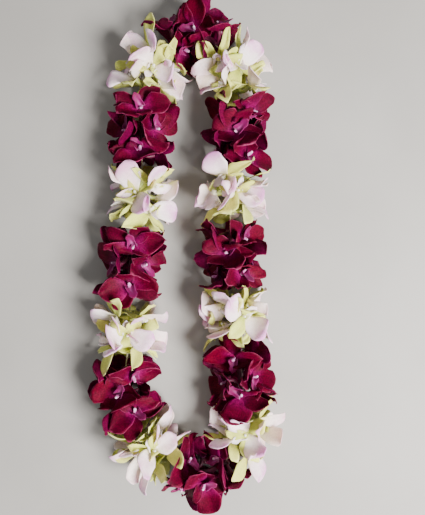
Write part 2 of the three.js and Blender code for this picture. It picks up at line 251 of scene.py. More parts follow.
# %% Holding the petals in their room
STRAND_REACH, STRAND_SOFT = 39.0, 33.0
THREAD_CLEAR = 8.0
FLOOR_SOFT = 9.0
PRESSED_LEVEL = FLOOR_LEVEL + 0.45
SEAM_MARGIN = {MAGENTA: -2.0, WHITE: 1.5}
SEAM_SOFT, SEAM_LIFT, SEAM_FLARE = 3.0, 0.5, 0.65
SEAM_WAVES = ((2, 5.5), (3, 4.0))           # how many round the seam, how high
WAVE_RADIUS, FLARE_START, FLARE_RADIUS = 30.0, 12.0, 26.0
BLOOM_ROOM, BLOOM_MARGIN, BLOOM_SOFT, BLOOM_FLARE = 40.0, 0.4, 3.0, 0.5
SAMPLE_COUNT = 12                # to each side of the middle of a bunch
SAMPLE_STEP = 1 / 16             # of the way from a bunch to the next
SAMPLE_GAP = 3                   # how far a nearest point may be from its sample
EASE, EASE_ROUNDS = 0.6, 5
TINY = 1e-6


def seam(k):
    t = (k + 0.5) / COUNT
    tangent = direction(t)[0]
    flare = -SEAM_FLARE if BUNCHES[(k + 1) % COUNT][0] == WHITE else SEAM_FLARE
    return {"middle": route(t)[0], "tangent": tangent, "flare": flare,
            "side": sideways(tangent),
            "phases": [math.radians(180 * draw(k, 0, n)) for n in (40, 41)]}


SEAMS = [seam(k) for k in range(COUNT)]
SAMPLE_STEPS = np.arange(-SAMPLE_COUNT, SAMPLE_COUNT + 1) * SAMPLE_STEP
SAMPLES = [(SAMPLE_STEPS + k) / COUNT for k in range(COUNT)]
SAMPLE_POINTS = [route(t) for t in SAMPLES]
SAMPLE_DIRECTIONS = [direction(t) for t in SAMPLES]


def nearest_on_thread(q, k):
    """The points of the thread near bunch k that are nearest to the points q."""
    points = SAMPLE_POINTS[k]
    nearest = np.argmin(np.linalg.norm(q[:, None] - points[None], axis=2), axis=1)
    p, d = points[nearest], SAMPLE_DIRECTIONS[k][nearest]
    past = np.clip(np.sum((q - p) * d, axis=1, keepdims=True), -SAMPLE_GAP, SAMPLE_GAP)
    return p + d * past


def hold_back(q, over, normal, soft, outward):
    """Points that are over a limit, or nearer to it than soft, moved back along the normal."""
    held = np.where(over > -soft, -soft * np.exp(-(over + soft) / soft), over)
    return (q + normal * (held - over)[:, None]
            + outward * (SEAM_LIFT * (over - held))[:, None])


def press_aside(q, k, i):
    """Points of bloom i of bunch k, held back from the other blooms and the next bunches."""
    near = nearest_on_thread(q, k)
    reach = np.linalg.norm(q - near, axis=1)
    outward = (q - near) / np.maximum(reach, TINY)[:, None]
    own = CENTRES[k][i]
    for j, other in enumerate(CENTRES[k]):
        if j == i or np.linalg.norm(own - other) > BLOOM_ROOM:
            continue
        normal = unit(other - own)
        pair = min(i, j) * BLOOMS + max(i, j)
        flare = (1 if i < j else -1) * math.copysign(BLOOM_FLARE, draw(k, 0, 50 + pair))
        over = (q - (own + other) / 2) @ normal - flare * (reach - FLARE_RADIUS) + BLOOM_MARGIN
        q = hold_back(q, over, normal, BLOOM_SOFT, outward)
    for way, border in ((1, SEAMS[k]), (-1, SEAMS[k - 1])):
        off = q - border["middle"]
        depth = off @ border["tangent"]
        across = off - depth[:, None] * border["tangent"]
        radius = np.linalg.norm(across, axis=1)
        angle = np.arctan2(across[:, 2], across @ border["side"])
        wave = sum(height * np.sin(waves * angle + phase)
                   for (waves, height), phase in zip(SEAM_WAVES, border["phases"]))
        offset = (wave * np.minimum(radius / WAVE_RADIUS, 1)
                  + border["flare"] * (np.maximum(radius, FLARE_START) - FLARE_RADIUS))
        over = way * (depth - offset) + SEAM_MARGIN[BUNCHES[k][0]]
        q = hold_back(q, over, border["tangent"] * way, SEAM_SOFT,
                      across / np.maximum(radius, TINY)[:, None])
    base = nearest_on_thread(q, k)
    radius = np.maximum(np.linalg.norm(q - base, axis=1), TINY)
    return base + (q - base) * np.maximum(THREAD_CLEAR / radius, 1)[:, None]


def press_in(q, k):
    """Points of bunch k, held within the strand's reach and off the table."""
    base = nearest_on_thread(q, k)
    radius = np.linalg.norm(q - base, axis=1)
    span = STRAND_REACH - STRAND_SOFT
    held = np.where(radius > STRAND_SOFT,
                    STRAND_REACH - span * np.exp(-(radius - STRAND_SOFT) / span), radius)
    q = base + (q - base) / np.maximum(radius, TINY)[:, None] * held[:, None]
    soft = FLOOR_SOFT - PRESSED_LEVEL
    low_part = PRESSED_LEVEL + soft * np.exp((np.minimum(q[:, 2], FLOOR_SOFT) - FLOOR_SOFT) / soft)
    q[:, 2] = np.where(q[:, 2] < FLOOR_SOFT, low_part, q[:, 2])
    return q


def eased(move, edges):
    """The moves of a blade's points, each one evened out with those next to it."""
    next_to = np.bincount(edges.ravel(), minlength=len(move))[:, None]
    for _ in range(EASE_ROUNDS):
        total = np.zeros_like(move)
        np.add.at(total, edges[:, 0], move[edges[:, 1]])
        np.add.at(total, edges[:, 1], move[edges[:, 0]])
        move = (1 - EASE) * move + EASE * total / next_to
    return move


near_pairs = sum(np.linalg.norm(row[i] - row[j]) < BLOOM_ROOM
                 for row in CENTRES for i in range(BLOOMS) for j in range(i))
print("seams:", len(SEAMS), "pairs of blooms that share their room:", near_pairs)

# %% [markdown]
# Petals, sepals and lips are flat blades before they bend. One blade of each kind is modelled
# at its real size on a small grid. Its rows are drawn in to the outline, and its outer corners
# are pulled back in small steps until the tip is round. The grid keeps its UV map all the
# while, with U across the blade and V from root to tip, which the veins will follow.

# %% Helpers for shaping by hand
def only(*objects):
    """Selects only the given objects, the last of them active."""
    bpy.ops.object.select_all(action="DESELECT")
    for ob in objects:
        ob.select_set(True)
        bpy.context.view_layer.objects.active = ob


def newest(name):
    """The object that an operator has just added, alone selected, it and its UV map named."""
    ob = bpy.context.object
    ob.name = name
    ob.data.uv_layers[0].name = "UVMap"
    only(ob)
    return ob


def pick(ob, test):
    """In edit mode, selects the vertices whose place in millimetres passes the test."""
    bm = bmesh.from_edit_mesh(ob.data)
    bm.select_mode = {"VERT"}
    for v in bm.verts:
        v.select = bool(test(v.co / MM))
    bm.select_flush_mode()
    bmesh.update_edit_mesh(ob.data)


def pick_upright_edges(ob):
    bm = bmesh.from_edit_mesh(ob.data)
    for v in bm.verts:
        v.select = False
    for edge in bm.edges:
        start, end = (v.co for v in edge.verts)
        edge.select = abs(start.z - end.z) > TINY and (start.xy - end.xy).length < TINY
    bmesh.update_edit_mesh(ob.data)


def places(ob):
    """The vertices of an object in millimetres."""
    co = np.empty(len(ob.data.vertices) * 3)
    ob.data.vertices.foreach_get("co", co)
    return co.reshape(-1, 3) / MM


def put(ob, new_places):
    """Moves the vertices of an object to places on the route, in millimetres."""
    ob.data.vertices.foreach_set("co", ((new_places + SHIFT) * MM).ravel())


MASTERS = bpy.data.collections.new("masters")
bpy.context.scene.collection.children.link(MASTERS)


def keep_as_master(ob):
    for folder in list(ob.users_collection):
        folder.objects.unlink(ob)
    MASTERS.objects.link(ob)
    print(ob.name, "faces:", len(ob.data.polygons))
    return ob


# %% One blade of each kind
PULL_LIMIT = 1.6                 # times the corner, how far behind its row a vertex is pulled
MIDRIB = (0.1, 0.85)             # the shares of the length between which the midrib lies
THINNER = 0.7
HAIR = 0.01                      # how near in millimetres a vertex is to the row it is on


def blade(name, length, width, columns, rows, outline, corner, groove):
    """A blade on a grid. The outline holds the half width's share at points of the length,
    corner is how far the tip's corners go back and groove how deep the midrib lies."""
    bpy.ops.mesh.primitive_grid_add(x_subdivisions=columns, y_subdivisions=rows, size=1,
                                    location=(0, 0.5, 0), calc_uvs=True)
    ob = newest(name)
    bpy.ops.object.transform_apply(location=True, rotation=False, scale=False)
    ob.scale = (width * MM, length * MM, 1)
    bpy.ops.object.transform_apply(location=False, rotation=False, scale=True)
    shares = [float(np.interp(row / rows, *zip(*outline))) for row in range(rows + 1)]
    bpy.ops.object.mode_set(mode="EDIT")
    for row, share in enumerate(shares):
        pick(ob, lambda p: abs(p.y - length * row / rows) < HAIR)
        bpy.ops.transform.resize(value=(share, 1, 1))
    steps = columns // 2
    for row in (rows - 2, rows - 1, rows):
        for step in range(1, steps + 1):
            reach = step / steps * shares[row] * width / 2 - 2 * HAIR
            edge_row = length * row / rows - PULL_LIMIT * corner
            pick(ob, lambda p: abs(p.x) > reach and p.y > edge_row)
            bpy.ops.transform.translate(value=(0, -corner / 3 / steps * MM, 0))
    pick(ob, lambda p: abs(p.x) < HAIR and MIDRIB[0] * length < p.y < MIDRIB[1] * length)
    bpy.ops.transform.translate(value=(0, 0, -groove * MM))
    bpy.ops.object.mode_set(mode="OBJECT")
    bpy.ops.object.shade_smooth()
    flesh = ob.vertex_groups.new(name="flesh")
    for v in ob.data.vertices:
        along_blade = v.co.y / MM / length
        share = float(np.interp(along_blade, *zip(*outline)))
        across = abs(v.co.x / MM) / (share * width / 2)
        flesh.add([v.index], 1 - THINNER * max(across ** 4, along_blade ** 8), "REPLACE")
    return keep_as_master(ob)


BROAD = [(0, 0.2), (0.12, 0.42), (0.25, 0.74), (0.4, 0.95), (0.55, 1), (0.7, 0.97),
         (0.82, 0.86), (0.92, 0.64), (1, 0.34)]
SQUARISH = [(0, 0.2), (0.12, 0.4), (0.25, 0.7), (0.4, 0.92), (0.6, 1), (0.78, 0.98),
            (0.88, 0.86), (0.95, 0.68), (1, 0.42)]
POINTED = [(0, 0.3), (0.15, 0.62), (0.35, 0.95), (0.5, 1), (0.68, 0.9), (0.85, 0.64),
           (0.95, 0.36), (1, 0.14)]
SPOON = [(0, 0.3), (0.15, 0.5), (0.35, 0.82), (0.55, 1), (0.75, 0.97), (0.88, 0.78),
         (0.96, 0.52), (1, 0.28)]
LOBED = [(0, 0.5), (0.12, 0.8), (0.28, 1), (0.42, 0.92), (0.56, 0.55), (0.7, 0.7),
         (0.82, 0.64), (0.93, 0.36), (1, 0.08)]
BLADE_SIZES = {      # length, width, columns, rows, outline, corner, groove
    (MAGENTA, "petal"): (31, 27, 8, 10, BROAD, 3, 0.45),
    (WHITE, "petal"): (31, 27, 8, 10, SQUARISH, 3, 0.35),
    (MAGENTA, "sepal"): (29, 18, 6, 9, POINTED, 0.6, 0.45),
    (WHITE, "sepal"): (29, 18, 6, 9, SPOON, 2.4, 0.5),
    (MAGENTA, "lip"): (17, 13, 8, 10, LOBED, 0.4, 0.3),
    (WHITE, "lip"): (17, 13, 8, 10, LOBED, 0.4, 0.3),
}
BLADE_MASTERS = {key: blade("_".join(key), *sizes) for key, sizes in BLADE_SIZES.items()}

# %% [markdown]
# The column stands in the throat: the fused style and anthers of an orchid, hooded and ending
# in a small pale anther cap. Behind the throat the ovary narrows to its stalk, which was bent
# in beside the thread when the bloom was strung. All of these are round, so each starts as a
# cylinder or a sphere, gets more rings, and is drawn in or out ring by ring.

# %% Column, anther cap, chin and ovary
def rod(name, length, sides, rings, profile, open_ends=False):
    """A round rod up the Z axis. The profile holds its radius at points of its length."""
    bpy.ops.mesh.primitive_cylinder_add(
        vertices=sides, radius=MM, depth=length * MM, location=(0, 0, length / 2 * MM),
        end_fill_type="NOTHING" if open_ends else "TRIFAN", calc_uvs=True)
    ob = newest(name)
    bpy.ops.object.transform_apply(location=True, rotation=False, scale=False)
    bpy.ops.object.mode_set(mode="EDIT")
    pick_upright_edges(ob)
    bpy.ops.mesh.subdivide(number_cuts=rings - 1)
    for ring in range(rings + 1):
        z = length * ring / rings
        pick(ob, lambda p: abs(p.z - z) < HAIR)
        radius = float(np.interp(ring / rings, *zip(*profile)))
        bpy.ops.transform.resize(value=(radius, radius, 1))
    bpy.ops.object.mode_set(mode="OBJECT")
    bpy.ops.object.shade_smooth_by_angle(angle=math.radians(60))
    return ob


def ball(name, radii, place, segments, rings):
    """A ball with its three radii and its middle in millimetres."""
    bpy.ops.mesh.primitive_uv_sphere_add(segments=segments, ring_count=rings, radius=MM,
                                         calc_uvs=True)
    ob = newest(name)
    ob.scale = radii
    ob.location = [value * MM for value in place]
    bpy.ops.object.transform_apply(location=True, rotation=False, scale=True)
    bpy.ops.object.shade_smooth()
    return ob


COLUMN_LENGTH = 8.0
STEM_LENGTH = 30.0
SLEEVE_LENGTH = 44.0
COLUMN_PROFILE = [(0, 1.9), (0.3, 1.6), (0.7, 1.75), (0.9, 1.7), (1, 1.1)]
STEM_PROFILE = [(0, 2.6), (0.12, 2.25), (0.3, 1.75), (0.45, 1.35), (0.6, 1.15), (0.92, 1.2),
                (1, 1.35)]


def column_master():
    ob = rod("column", COLUMN_LENGTH, 10, 5, COLUMN_PROFILE)
    bpy.ops.object.mode_set(mode="EDIT")
    pick(ob, lambda p: p.y < -0.6 and p.z > 2.5)
    bpy.ops.transform.translate(value=(0, 0.8 * MM, 0))
    bpy.ops.object.mode_set(mode="OBJECT")
    return keep_as_master(ob)


def chin_master():
    ob = ball("chin", (1.9, 2.3, 2.6), (0, -1.7, -1.6), 10, 7)
    bpy.ops.object.mode_set(mode="EDIT")
    pick(ob, lambda p: p.z < -2.6)
    bpy.ops.transform.resize(value=(0.75, 0.75, 1))
    bpy.ops.transform.translate(value=(0, -0.9 * MM, -0.6 * MM))
    bpy.ops.object.mode_set(mode="OBJECT")
    return keep_as_master(ob)


def sleeve_master():
    ob = rod("sleeve", SLEEVE_LENGTH, 9, 22, [(0, 2.7), (1, 2.7)], open_ends=True)
    wall = ob.modifiers.new("wall", "SOLIDIFY")
    wall.thickness = 1.2 * MM
    bpy.ops.object.modifier_apply(modifier=wall.name)
    return keep_as_master(ob)


COLUMN = column_master()
CAP = keep_as_master(ball("anther_cap", (1.35, 1.25, 1.1), (0, 0.55, COLUMN_LENGTH - 0.2), 8, 6))
CHIN = chin_master()
STEM = keep_as_master(rod("stem", STEM_LENGTH, 8, 12, STEM_PROFILE))
SLEEVE = sleeve_master()

# %% [markdown]
# The finishes share three effects, so each is a node group that is built once. One reads the
# place on a blade from its UV map: how far along, how near the rim. One draws veins that fan
# out from the root, because the UV map narrows there with the blade. One gives a soft mottle in
# the object's own space. They put out masks only, and each finish mixes its own colours by them.

# %% Node helpers
def linear(r, g, b):
    """A colour given as on a screen, 0 to 255, as the light it stands for."""
    return tuple((c / 255 / 12.92) if c <= 10 else ((c / 255 + 0.055) / 1.055) ** 2.4
                 for c in (r, g, b)) + (1.0,)


def plug(tree, node, inputs):
    """Links each input that is given as a socket, and sets any other."""
    for key, value in inputs.items():
        if isinstance(value, bpy.types.NodeSocket):
            tree.links.new(value, node.inputs[key])
        else:
            node.inputs[key].default_value = value


def add(tree, kind, inputs, **settings):
    node = tree.nodes.new(kind)
    for name, value in settings.items():
        setattr(node, name, value)
    plug(tree, node, inputs)
    return node


def maths(tree, operation, a, b=0.0):
    return add(tree, "ShaderNodeMath", {0: a, 1: b}, operation=operation).outputs[0]


def ramp(tree, value, low, high, out_low=0.0, out_high=1.0):
    """A soft step of a value from low to high."""
    return add(tree, "ShaderNodeMapRange", {"Value": value, "From Min": low, "From Max": high,
                                            "To Min": out_low, "To Max": out_high},
               interpolation_type="SMOOTHSTEP").outputs["Result"]


def mixed(tree, factor, a, b):
    """Colour a where the factor is 0, colour b where it is 1."""
    return add(tree, "ShaderNodeMix", {0: factor, 6: a, 7: b}, data_type="RGBA").outputs[2]


def new_material(name):
    material = bpy.data.materials.new(name)
    material.use_nodes = True
    tree = material.node_tree
    return material, tree, tree.nodes["Principled BSDF"]


def group(name, inputs, outputs):
    """An empty group with its sockets, and the nodes that carry them."""
    tree = bpy.data.node_groups.new(name, "ShaderNodeTree")
    for socket, value in inputs.items():
        made = tree.interface.new_socket(name=socket, in_out="INPUT", socket_type="NodeSocketFloat")
        made.default_value = value
    for socket in outputs:
        tree.interface.new_socket(name=socket, in_out="OUTPUT", socket_type="NodeSocketFloat")
    return tree, tree.nodes.new("NodeGroupInput"), tree.nodes.new("NodeGroupOutput")


def use(tree, shared, **inputs):
    return add(tree, "ShaderNodeGroup", inputs, node_tree=shared).outputs


def uv_parts(tree):
    uv = add(tree, "ShaderNodeUVMap", {}, uv_map="UVMap").outputs[0]
    return add(tree, "ShaderNodeSeparateXYZ", {0: uv}).outputs


def carried(tree, name):
    """A number that each vertex carries: its blade's tone, or 1 for behind."""
    return add(tree, "ShaderNodeAttribute", {}, attribute_name=name).outputs["Fac"]


def toned(tree, colour, value):
    return add(tree, "ShaderNodeHueSaturation", {"Color": colour, "Value": value}).outputs[0]


def bumped(tree, height, strength, distance):
    return add(tree, "ShaderNodeBump", {"Height": height, "Strength": strength,
                                        "Distance": distance}).outputs[0]


# %% The shared effects
VEIN_SEAT = (5.0, 3.0, 9.0)              # noise cells across, along and from blade to blade
NOISES = (("Soft", 1.0, 3.0), ("Grain", 7.0, 2.0), ("Fine", 24.0, 2.0))    # name, finer, detail


def blade_place_group():
    tree, into, out = group("Blade place", {"Rim Width": 0.08}, ["Along", "Across", "Rim"])
    uv = uv_parts(tree)
    doubled = maths(tree, "MULTIPLY", uv[0], 2.0)
    across = maths(tree, "ABSOLUTE", maths(tree, "SUBTRACT", doubled, 1.0))
    start = maths(tree, "SUBTRACT", 1.0, into.outputs["Rim Width"])
    side_rim = ramp(tree, across, start, 1.0)
    tip_rim = ramp(tree, uv[1], start, 1.0)
    rim = maths(tree, "MAXIMUM", side_rim, tip_rim)
    plug(tree, out, {"Along": uv[1], "Across": across, "Rim": rim})
    return tree


def veins_group():
    tree, into, out = group("Veins", {"Count": 13.0, "Wander": 0.7, "Width": 0.35}, ["Vein"])
    uv = uv_parts(tree)
    seat = add(tree, "ShaderNodeCombineXYZ", {
        axis: maths(tree, "MULTIPLY", value, VEIN_SEAT[axis])
        for axis, value in enumerate((uv[0], uv[1], carried(tree, "tone")))}).outputs[0]
    noise = add(tree, "ShaderNodeTexNoise",
                {"Vector": seat, "Scale": 1.0, "Detail": 2.0}).outputs[0]
    bent = maths(tree, "MULTIPLY", maths(tree, "SUBTRACT", noise, 0.5), into.outputs["Wander"])
    counted = maths(tree, "MULTIPLY", uv[0], into.outputs["Count"])
    place = maths(tree, "ADD", counted, bent)
    wave = maths(tree, "ABSOLUTE", maths(tree, "SINE", maths(tree, "MULTIPLY", place, math.pi)))
    line = maths(tree, "SUBTRACT", 1.0, ramp(tree, wave, 0.0, into.outputs["Width"]))
    fade = ramp(tree, noise, 0.3, 0.6, 0.35, 1.0)
    plug(tree, out, {"Vein": maths(tree, "MULTIPLY", line, fade)})
    return tree


def mottle_group():
    tree, into, out = group("Mottle", {"Scale": 90.0}, ["Soft", "Grain", "Fine"])
    place = add(tree, "ShaderNodeTexCoord", {}).outputs["Object"]
    noise = {}
    for name, finer, detail in NOISES:
        scale = maths(tree, "MULTIPLY", into.outputs["Scale"], finer)
        noise[name] = add(tree, "ShaderNodeTexNoise",
                          {"Vector": place, "Scale": scale, "Detail": detail}).outputs[0]
    plug(tree, out, {"Soft": ramp(tree, noise["Soft"], 0.3, 0.7),
                     "Grain": ramp(tree, noise["Grain"], 0.3, 0.7, -1.0, 1.0),
                     "Fine": noise["Fine"]})
    return tree


BLADE_PLACE = blade_place_group()
VEINS = veins_group()
MOTTLE = mottle_group()
print("groups:", [g.name for g in bpy.data.node_groups])

# %% [markdown]
# A fresh petal is thin, velvety flesh. Light goes a little way in and comes out again, so each
# finish has some subsurface. On pale blades and lips a weak sheen stands for the tiny cells of
# the face, but it would turn magenta petals grey. The colour runs from root to body to tip, the
# rim is paler where the petal thins out, the back is duller, no two blades have quite the same
# tone, and some are a little aged.

# %% Finishes of the blades
BLADE_ROUGHNESS = 0.55
BACK_MOST = 0.6
TONE_DARKER = 0.16
FLESH_DEPTH = 0.0015


def blade_finish(name, root, body, tip, rim, back, vein, age=None, age_most=0.0,
                 root_end=0.4, tip_start=0.7, tip_most=0.8, rim_most=0.6, vein_most=0.25,
                 vein_count=13.0, mottled=0.35, grain=0.06, streaks=0.0, sheen=0.05,
                 gloss=0.25, flesh=0.15, glow=(1.0, 0.1, 0.3)):
    """Colours are given as on a screen, and a value that ends in most is a mask's highest."""
    material, tree, shader = new_material(name)
    place = use(tree, BLADE_PLACE)
    veins = use(tree, VEINS, Count=vein_count)["Vein"]
    mottle = use(tree, MOTTLE)
    tone = carried(tree, "tone")
    behind = carried(tree, "behind")
    along_blade = place["Along"]
    soft = mottle["Soft"]
    colour = mixed(tree, ramp(tree, along_blade, 0.02, root_end), linear(*root), linear(*body))
    tip_mask = maths(tree, "MULTIPLY", ramp(tree, along_blade, tip_start, 1.0, 0.0, tip_most),
                     ramp(tree, soft, 0.0, 1.0, 0.5, 1.0))
    colour = mixed(tree, tip_mask, colour, linear(*tip))
    patch = maths(tree, "MULTIPLY", soft, mottled)
    colour = mixed(tree, patch, colour, linear(*tip))
    colour = mixed(tree, maths(tree, "MULTIPLY", veins, vein_most), colour, linear(*vein))
    if streaks:
        near = maths(tree, "SUBTRACT", 1.0, ramp(tree, place["Across"], 0.05, 0.5))
        streak = maths(tree, "MULTIPLY", near, ramp(tree, along_blade, 0.15, 0.75, streaks, 0.0))
        colour = mixed(tree, streak, colour, linear(*rim))
    rim_mask = maths(tree, "MULTIPLY", place["Rim"], ramp(tree, soft, 0.1, 0.8, 0.15, rim_most))
    colour = mixed(tree, rim_mask, colour, linear(*rim))
    colour = mixed(tree, maths(tree, "MULTIPLY", behind, BACK_MOST), colour, linear(*back))
    if age:
        aged = maths(tree, "MULTIPLY", ramp(tree, tone, -0.1, 0.9, 0.0, age_most),
                     ramp(tree, soft, 0.0, 1.0, 0.4, 1.0))
        colour = mixed(tree, aged, colour, linear(*age))
    value = maths(tree, "ADD", maths(tree, "MULTIPLY", tone, -TONE_DARKER),
                  maths(tree, "ADD", 1.0, maths(tree, "MULTIPLY", mottle["Grain"], grain)))
    rough = ramp(tree, mottle["Fine"], 0.3, 0.7, BLADE_ROUGHNESS - 0.08, BLADE_ROUGHNESS + 0.08)
    height = maths(tree, "ADD", maths(tree, "MULTIPLY", veins, -0.6), mottle["Fine"])
    plug(tree, shader, {
        "Base Color": toned(tree, colour, value), "Roughness": rough,
        "Normal": bumped(tree, height, 0.25, 0.0003), "Subsurface Weight": flesh,
        "Subsurface Radius": glow, "Subsurface Scale": FLESH_DEPTH, "Sheen Weight": sheen,
        "Sheen Roughness": 0.5, "IOR": 1.38, "Specular IOR Level": gloss})
    print("finish:", name)
    return material


VELVET = dict(rim_most=0.55, age_most=0.6, grain=0.3, mottled=0.6, gloss=0.08, sheen=0.0)
BLADE_LOOKS = {
    (MAGENTA, "petal"): dict(
        root=(130, 0, 86), body=(85, 0, 31), tip=(50, 0, 18), rim=(178, 66, 114),
        back=(88, 0, 52), vein=(120, 0, 58), age=(104, 0, 30), root_end=0.5, tip_start=0.5,
        **VELVET),
    (MAGENTA, "sepal"): dict(
        root=(112, 0, 76), body=(74, 0, 28), tip=(56, 0, 20), rim=(172, 66, 110),
        back=(78, 0, 46), vein=(106, 0, 52), age=(88, 0, 24), **VELVET),
    (MAGENTA, "lip"): dict(
        root=(206, 150, 196), body=(118, 8, 82), tip=(104, 0, 50), rim=(178, 84, 150),
        back=(104, 8, 76), vein=(78, 0, 50), root_end=0.25, vein_most=0.45, vein_count=9.0,
        rim_most=0.3, streaks=0.8),
    (WHITE, "petal"): dict(
        root=(226, 230, 156), body=(255, 240, 240), tip=(208, 118, 196), rim=(236, 178, 218),
        back=(252, 234, 222), vein=(236, 198, 210), age=(234, 218, 170), age_most=0.55,
        root_end=0.35, tip_start=0.25, tip_most=0.95, rim_most=0.5, vein_most=0.3,
        mottled=0.22, sheen=0.1, flesh=0.35, glow=(1.0, 0.9, 0.8)),
    (WHITE, "sepal"): dict(
        root=(158, 172, 62), body=(204, 212, 104), tip=(222, 222, 128), rim=(240, 236, 180),
        back=(206, 210, 118), vein=(170, 184, 74), age=(214, 196, 96), age_most=0.5,
        root_end=0.5, vein_most=0.4, vein_count=7.0, sheen=0.1, flesh=0.3,
        glow=(0.8, 1.0, 0.4)),
    (WHITE, "lip"): dict(
        root=(206, 210, 140), body=(236, 226, 226), tip=(216, 186, 216), rim=(246, 240, 240),
        back=(232, 226, 214), vein=(196, 160, 190), root_end=0.35, vein_most=0.4,
        vein_count=9.0, rim_most=0.3, streaks=0.4, sheen=0.1, flesh=0.35,
        glow=(1.0, 0.9, 0.8)),
}
BLADE_FINISHES = {key: blade_finish("_".join(key), **look) for key, look in BLADE_LOOKS.items()}


# %% Finishes of the round parts and of the thread
PLIES_ALONG, PLIES_ROUND = 420.0, 3.0


def flesh_finish(name, low_colour, high_colour, speck, roughness):
    """Smooth plant flesh: two colours in soft patches, with fine specks."""
    material, tree, shader = new_material(name)
    mottle = use(tree, MOTTLE, Scale=260.0)
    fine = mottle["Fine"]
    colour = mixed(tree, mottle["Soft"], linear(*low_colour), linear(*high_colour))
    colour = mixed(tree, ramp(tree, fine, 0.6, 0.72, 0.0, 0.5), colour, linear(*speck))
    value = maths(tree, "ADD", 1.0, maths(tree, "MULTIPLY", carried(tree, "tone"), 0.12))
    plug(tree, shader, {
        "Base Color": toned(tree, colour, value),
        "Roughness": ramp(tree, fine, 0.3, 0.7, roughness - 0.1, roughness + 0.1),
        "Normal": bumped(tree, fine, 0.2, 0.0002), "Subsurface Weight": 0.2,
        "Subsurface Radius": (1.0, 0.7, 0.5), "Subsurface Scale": FLESH_DEPTH})
    return material


def thread_finish():
    """Cotton: a twist of plies along the thread's own UV map, with painted shade in the grooves
    between them, and a fuzz of fibres.
    """
    material, tree, shader = new_material("cotton_thread")
    uv = uv_parts(tree)
    plies = maths(tree, "ADD", maths(tree, "MULTIPLY", uv[0], PLIES_ALONG),
                  maths(tree, "MULTIPLY", uv[1], PLIES_ROUND))
    twist = maths(tree, "ABSOLUTE", maths(tree, "SINE", maths(tree, "MULTIPLY", plies, math.pi)))
    fuzz = use(tree, MOTTLE, Scale=400.0)["Fine"]
    # painted shade: the grooves between the plies are darker and their crests lighter
    colour = mixed(tree, twist, linear(128, 120, 92), linear(190, 182, 150))
    colour = mixed(tree, maths(tree, "MULTIPLY", fuzz, 0.3), colour, linear(160, 150, 120))
    plug(tree, shader, {"Base Color": colour, "Normal": bumped(tree, twist, 0.6, 0.0002),
                        "Roughness": ramp(tree, fuzz, 0.3, 0.7, 0.75, 0.95)})
    return material


ROUND_LOOKS = {      # low colour, high colour, specks, roughness
    (MAGENTA, "column"): ((196, 92, 168), (226, 170, 214), (150, 30, 110), 0.45),
    (WHITE, "column"): ((214, 218, 160), (240, 236, 222), (190, 196, 120), 0.45),
    (MAGENTA, "anther_cap"): ((190, 96, 160), (240, 214, 236), (150, 40, 120), 0.3),
    (WHITE, "anther_cap"): ((240, 238, 226), (250, 248, 240), (214, 210, 170), 0.3),
    # The magenta ovary finish covers the chins, stems and sleeves and is darker than their own
    # colour: painted shade, for where they show deep between the petals.
    (MAGENTA, "ovary"): ((74, 8, 44), (104, 22, 60), (96, 70, 48), 0.45),
    (WHITE, "ovary"): ((160, 176, 84), (200, 206, 128), (128, 148, 62), 0.45),
}
ROUND_FINISHES = {key: flesh_finish("_".join(key), *look) for key, look in ROUND_LOOKS.items()}
THREAD_FINISH = thread_finish()
print("materials:", len(bpy.data.materials))

# %% [markdown]
# Now the blades become blooms. A copy of each blade is turned and bent by formulas: it rises
# from the throat, bows back, cups, ruffles and sways a little in its own way, and is then
# pressed into its room. Bending each vertex by hand would take thousands of moves, and a bend
# modifier knows nothing of the petals round it, so the places are worked out for the whole
# copy at once. Lengths here are in millimetres and angles in degrees.

# %% The shape of a blade in its bloom
BLADES = (       # kind, angle, length, width, rise, back, lift
    ("petal", 12, 31, 24, 0.4, 0.28, 0),
    ("sepal", 90, 29, 15, 0.2, 0.3, 0),
    ("petal", 168, 31, 24, 0.4, 0.28, 0),
    ("sepal", 222, 28, 15, 0.1, 0.25, 0),
    ("lip", 270, 15, 10, 0.1, 0.35, 48),
    ("sepal", 318, 28, 15, 0.1, 0.25, 0),
)
TURN_DRAW, TWIST_DRAW, RISE_DRAW, BACK_DRAW, LENGTH_DRAW = 6, 15, 0.12, 0.12, 0.05
LIP_CALM = 0.3                   # the share of these draws that a lip takes
LIP_TUBE, TUBE_AT, TUBE_LENGTH, TUBE_FOLD = 5.5, 0.3, 0.28, 0.25
CUPPED = {"petal": (0.10, 0.14), "sepal": (0.28, 0.16)}     # the usual, and how far it varies
CUP_ROOT, CUP_LOST = 1.2, 0.6    # how much of it the root has, and how much less the tip
HOOK, HOOK_FROM = 0.8, 0.7
EDGE_WAVE, SWAY = 0.05, 0.22
LIP_WAVES, RUFFLE_WAVES, EDGE_WAVES = 9, 7, 12       # radians from root to tip
SHAPES = {       # how much longer and wider than the model's blade, and how high it ruffles
    (MAGENTA, "petal"): (1.06, 1.16, 1.5),
    (MAGENTA, "sepal"): (1.06, 1.2, 0.9),
    (MAGENTA, "lip"): (1.1, 1.2, 0.5),
    (WHITE, "petal"): (1.03, 1.08, 2.4),
    (WHITE, "sepal"): (1.08, 1.14, 0.9),
    (WHITE, "lip"): (1.1, 1.2, 0.5),
}


